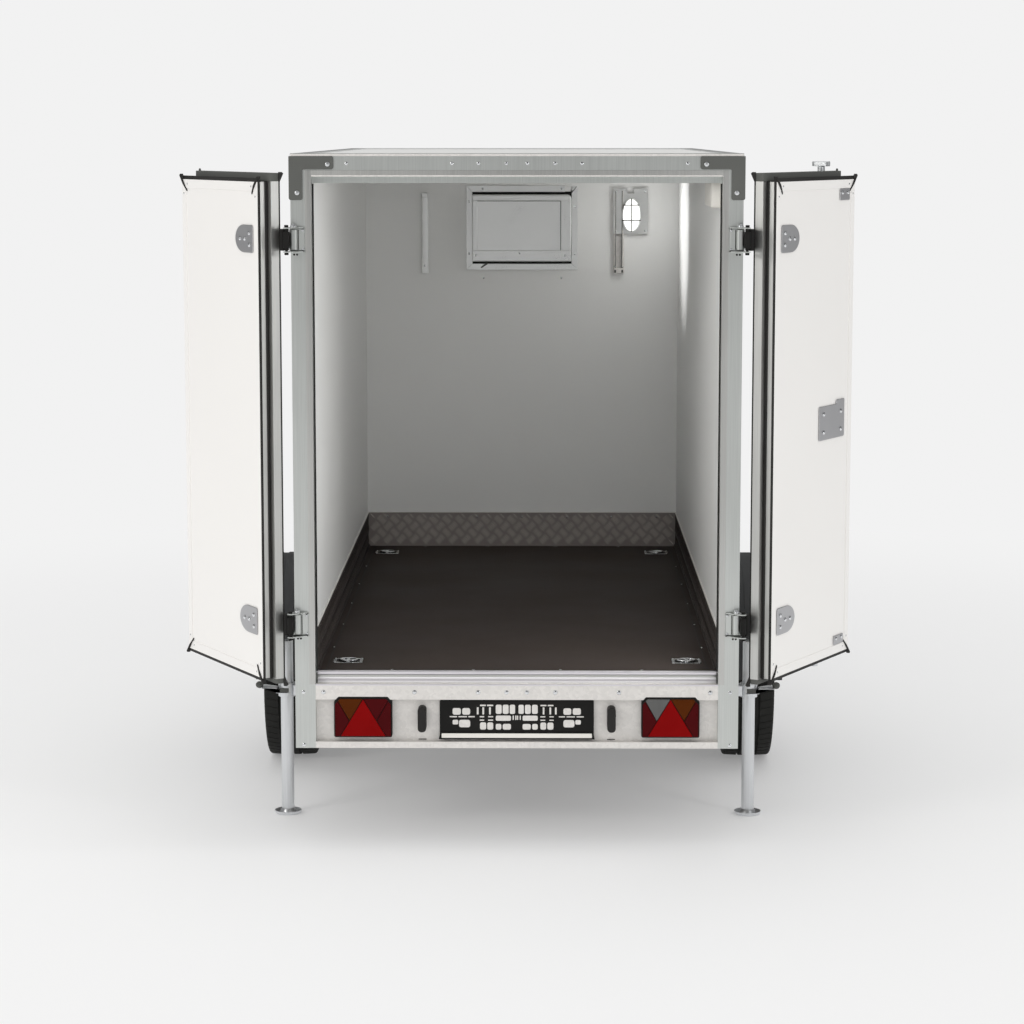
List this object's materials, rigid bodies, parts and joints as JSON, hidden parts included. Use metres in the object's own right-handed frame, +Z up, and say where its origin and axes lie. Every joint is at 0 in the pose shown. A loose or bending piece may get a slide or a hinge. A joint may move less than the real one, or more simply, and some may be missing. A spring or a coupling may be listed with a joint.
{
  "type": "single-axle refrigerated box trailer",
  "caption": "Small refrigerated box trailer with an insulated body, hinged rear doors standing open, sprung axle, prop stands, jockey wheel and ball coupling.",
  "frame": {"origin": "on the ground, under the middle of the overall box", "axes": "+X to the right seen from behind, +Y forwards to the drawbar, +Z up"},
  "size_m": [2.3896, 4.429, 2.363],
  "materials": {
    "galvanised": "hot-dip galvanised, faint spangle",
    "axle_steel": "galvanised, duller",
    "coupling_steel": "black powder coat and zinc",
    "zinc_steel": "zinc plated tube",
    "zinc_bright": "bright zinc",
    "frame_aluminium": "matt anodised",
    "sill_aluminium": "ribbed, satin",
    "profile_aluminium": "satin anodised",
    "inner_aluminium": "satin",
    "door_aluminium": "satin anodised",
    "dark_plastic": "matt dark grey",
    "wall_skin": "glossy white laminate",
    "door_skin": "glossy white laminate",
    "floor_board": "film-faced plywood, dark brown",
    "chequer_plate": "embossed five-bar, dark",
    "lamp_red": "moulded lens",
    "lamp_amber": "moulded lens",
    "lamp_glass": "frosted glass",
    "black_plastic": "moulded black",
    "black_rubber": "matt black",
    "cream_plastic": "cream",
    "unit_shell": "white, smooth",
    "mudguard_plastic": "grained dark grey",
    "hinge_metal": "cast, satin",
    "tyre_rubber": "road tyre",
    "rim_paint": "silver",
    "solid_rubber": "solid rubber tread on a steel hub"
  },
  "bodies": {
    "trailer": {"chassis_rails": "galvanised", "chassis_crossmembers": "galvanised", "rear_crossmember": "galvanised", "axle": "axle_steel", "drawbar_left": "galvanised", "drawbar_right": "galvanised", "coupling": "coupling_steel", "jack_sleeve": "zinc_steel", "rear_frame": "frame_aluminium", "corner_brackets": "dark_plastic", "sill": "sill_aluminium", "side_wall_left": "wall_skin", "side_wall_right": "wall_skin", "front_wall": "wall_skin", "roof": "wall_skin", "floor": "floor_board", "tie_downs": "zinc_bright", "kick_plates": "chequer_plate", "body_profiles": "profile_aluminium", "tail_lamps": "lamp_red", "plate_holder": "black_plastic", "rubber_buffers": "black_rubber", "marker_lamps": "lamp_amber", "unit_frame": "inner_aluminium", "wall_channels": "inner_aluminium", "interior_lamp": "lamp_glass", "wall_box": "cream_plastic", "fridge_housing": "unit_shell", "fridge_grille": "black_plastic", "mudguard_left": "mudguard_plastic", "mudguard_right": "mudguard_plastic", "leg_clamps": "zinc_steel", "hinge_brackets": "hinge_metal"},
    "door_left": {"door_left_panel": "door_skin", "door_left_frame": "door_aluminium", "door_left_seal": "black_rubber", "door_left_hinges": "hinge_metal"},
    "door_right": {"door_right_panel": "door_skin", "door_right_frame": "door_aluminium", "door_right_seal": "black_rubber", "door_right_hinges": "hinge_metal", "door_right_lock": "hinge_metal"},
    "wheel_left": {"tyre_left": "tyre_rubber", "rim_left": "rim_paint", "hub_left": "axle_steel"},
    "wheel_right": {"tyre_right": "tyre_rubber", "rim_right": "rim_paint", "hub_right": "axle_steel"},
    "leg_left": {"leg_left": "zinc_steel"},
    "leg_right": {"leg_right": "zinc_steel"},
    "jack": {"jack_tube": "zinc_bright"},
    "jockey_fork": {"jockey_fork": "zinc_steel"},
    "jockey_wheel": {"jockey_wheel": "solid_rubber"}
  },
  "joints": [
    {"name": "door_left_hinge", "type": "hinge", "parent": "trailer", "child": "door_left", "pos_m": [-0.7695, -2.2045, 1.4], "axis": [0, 0, -1], "range_deg": [-241.2, 8]},
    {"name": "door_right_hinge", "type": "hinge", "parent": "trailer", "child": "door_right", "pos_m": [0.7695, -2.2045, 1.4], "axis": [0, 0, 1], "range_deg": [-241.2, 8]},
    {"name": "wheel_left_spin", "type": "hinge", "parent": "trailer", "child": "wheel_left", "pos_m": [-0.8865, -0.7105, 0.325], "axis": [1, 0, 0], "continuous": true},
    {"name": "wheel_right_spin", "type": "hinge", "parent": "trailer", "child": "wheel_right", "pos_m": [0.8865, -0.7105, 0.325], "axis": [1, 0, 0], "continuous": true},
    {"name": "leg_left_slide", "type": "slide", "parent": "trailer", "child": "leg_left", "axis": [0, 0, 1], "range_m": [0, 0.3]},
    {"name": "leg_right_slide", "type": "slide", "parent": "trailer", "child": "leg_right", "axis": [0, 0, 1], "range_m": [0, 0.3]},
    {"name": "jack_slide", "type": "slide", "parent": "trailer", "child": "jack", "axis": [0, 0, 1], "range_m": [0, 0.08]},
    {"name": "jockey_swivel", "type": "hinge", "parent": "jack", "child": "jockey_fork", "pos_m": [-0.128, 1.8395, 0.28], "axis": [0, 0, 1], "continuous": true},
    {"name": "jockey_spin", "type": "hinge", "parent": "jockey_fork", "child": "jockey_wheel", "pos_m": [-0.128, 1.7915, 0.1], "axis": [1, 0, 0], "continuous": true}
  ]
}
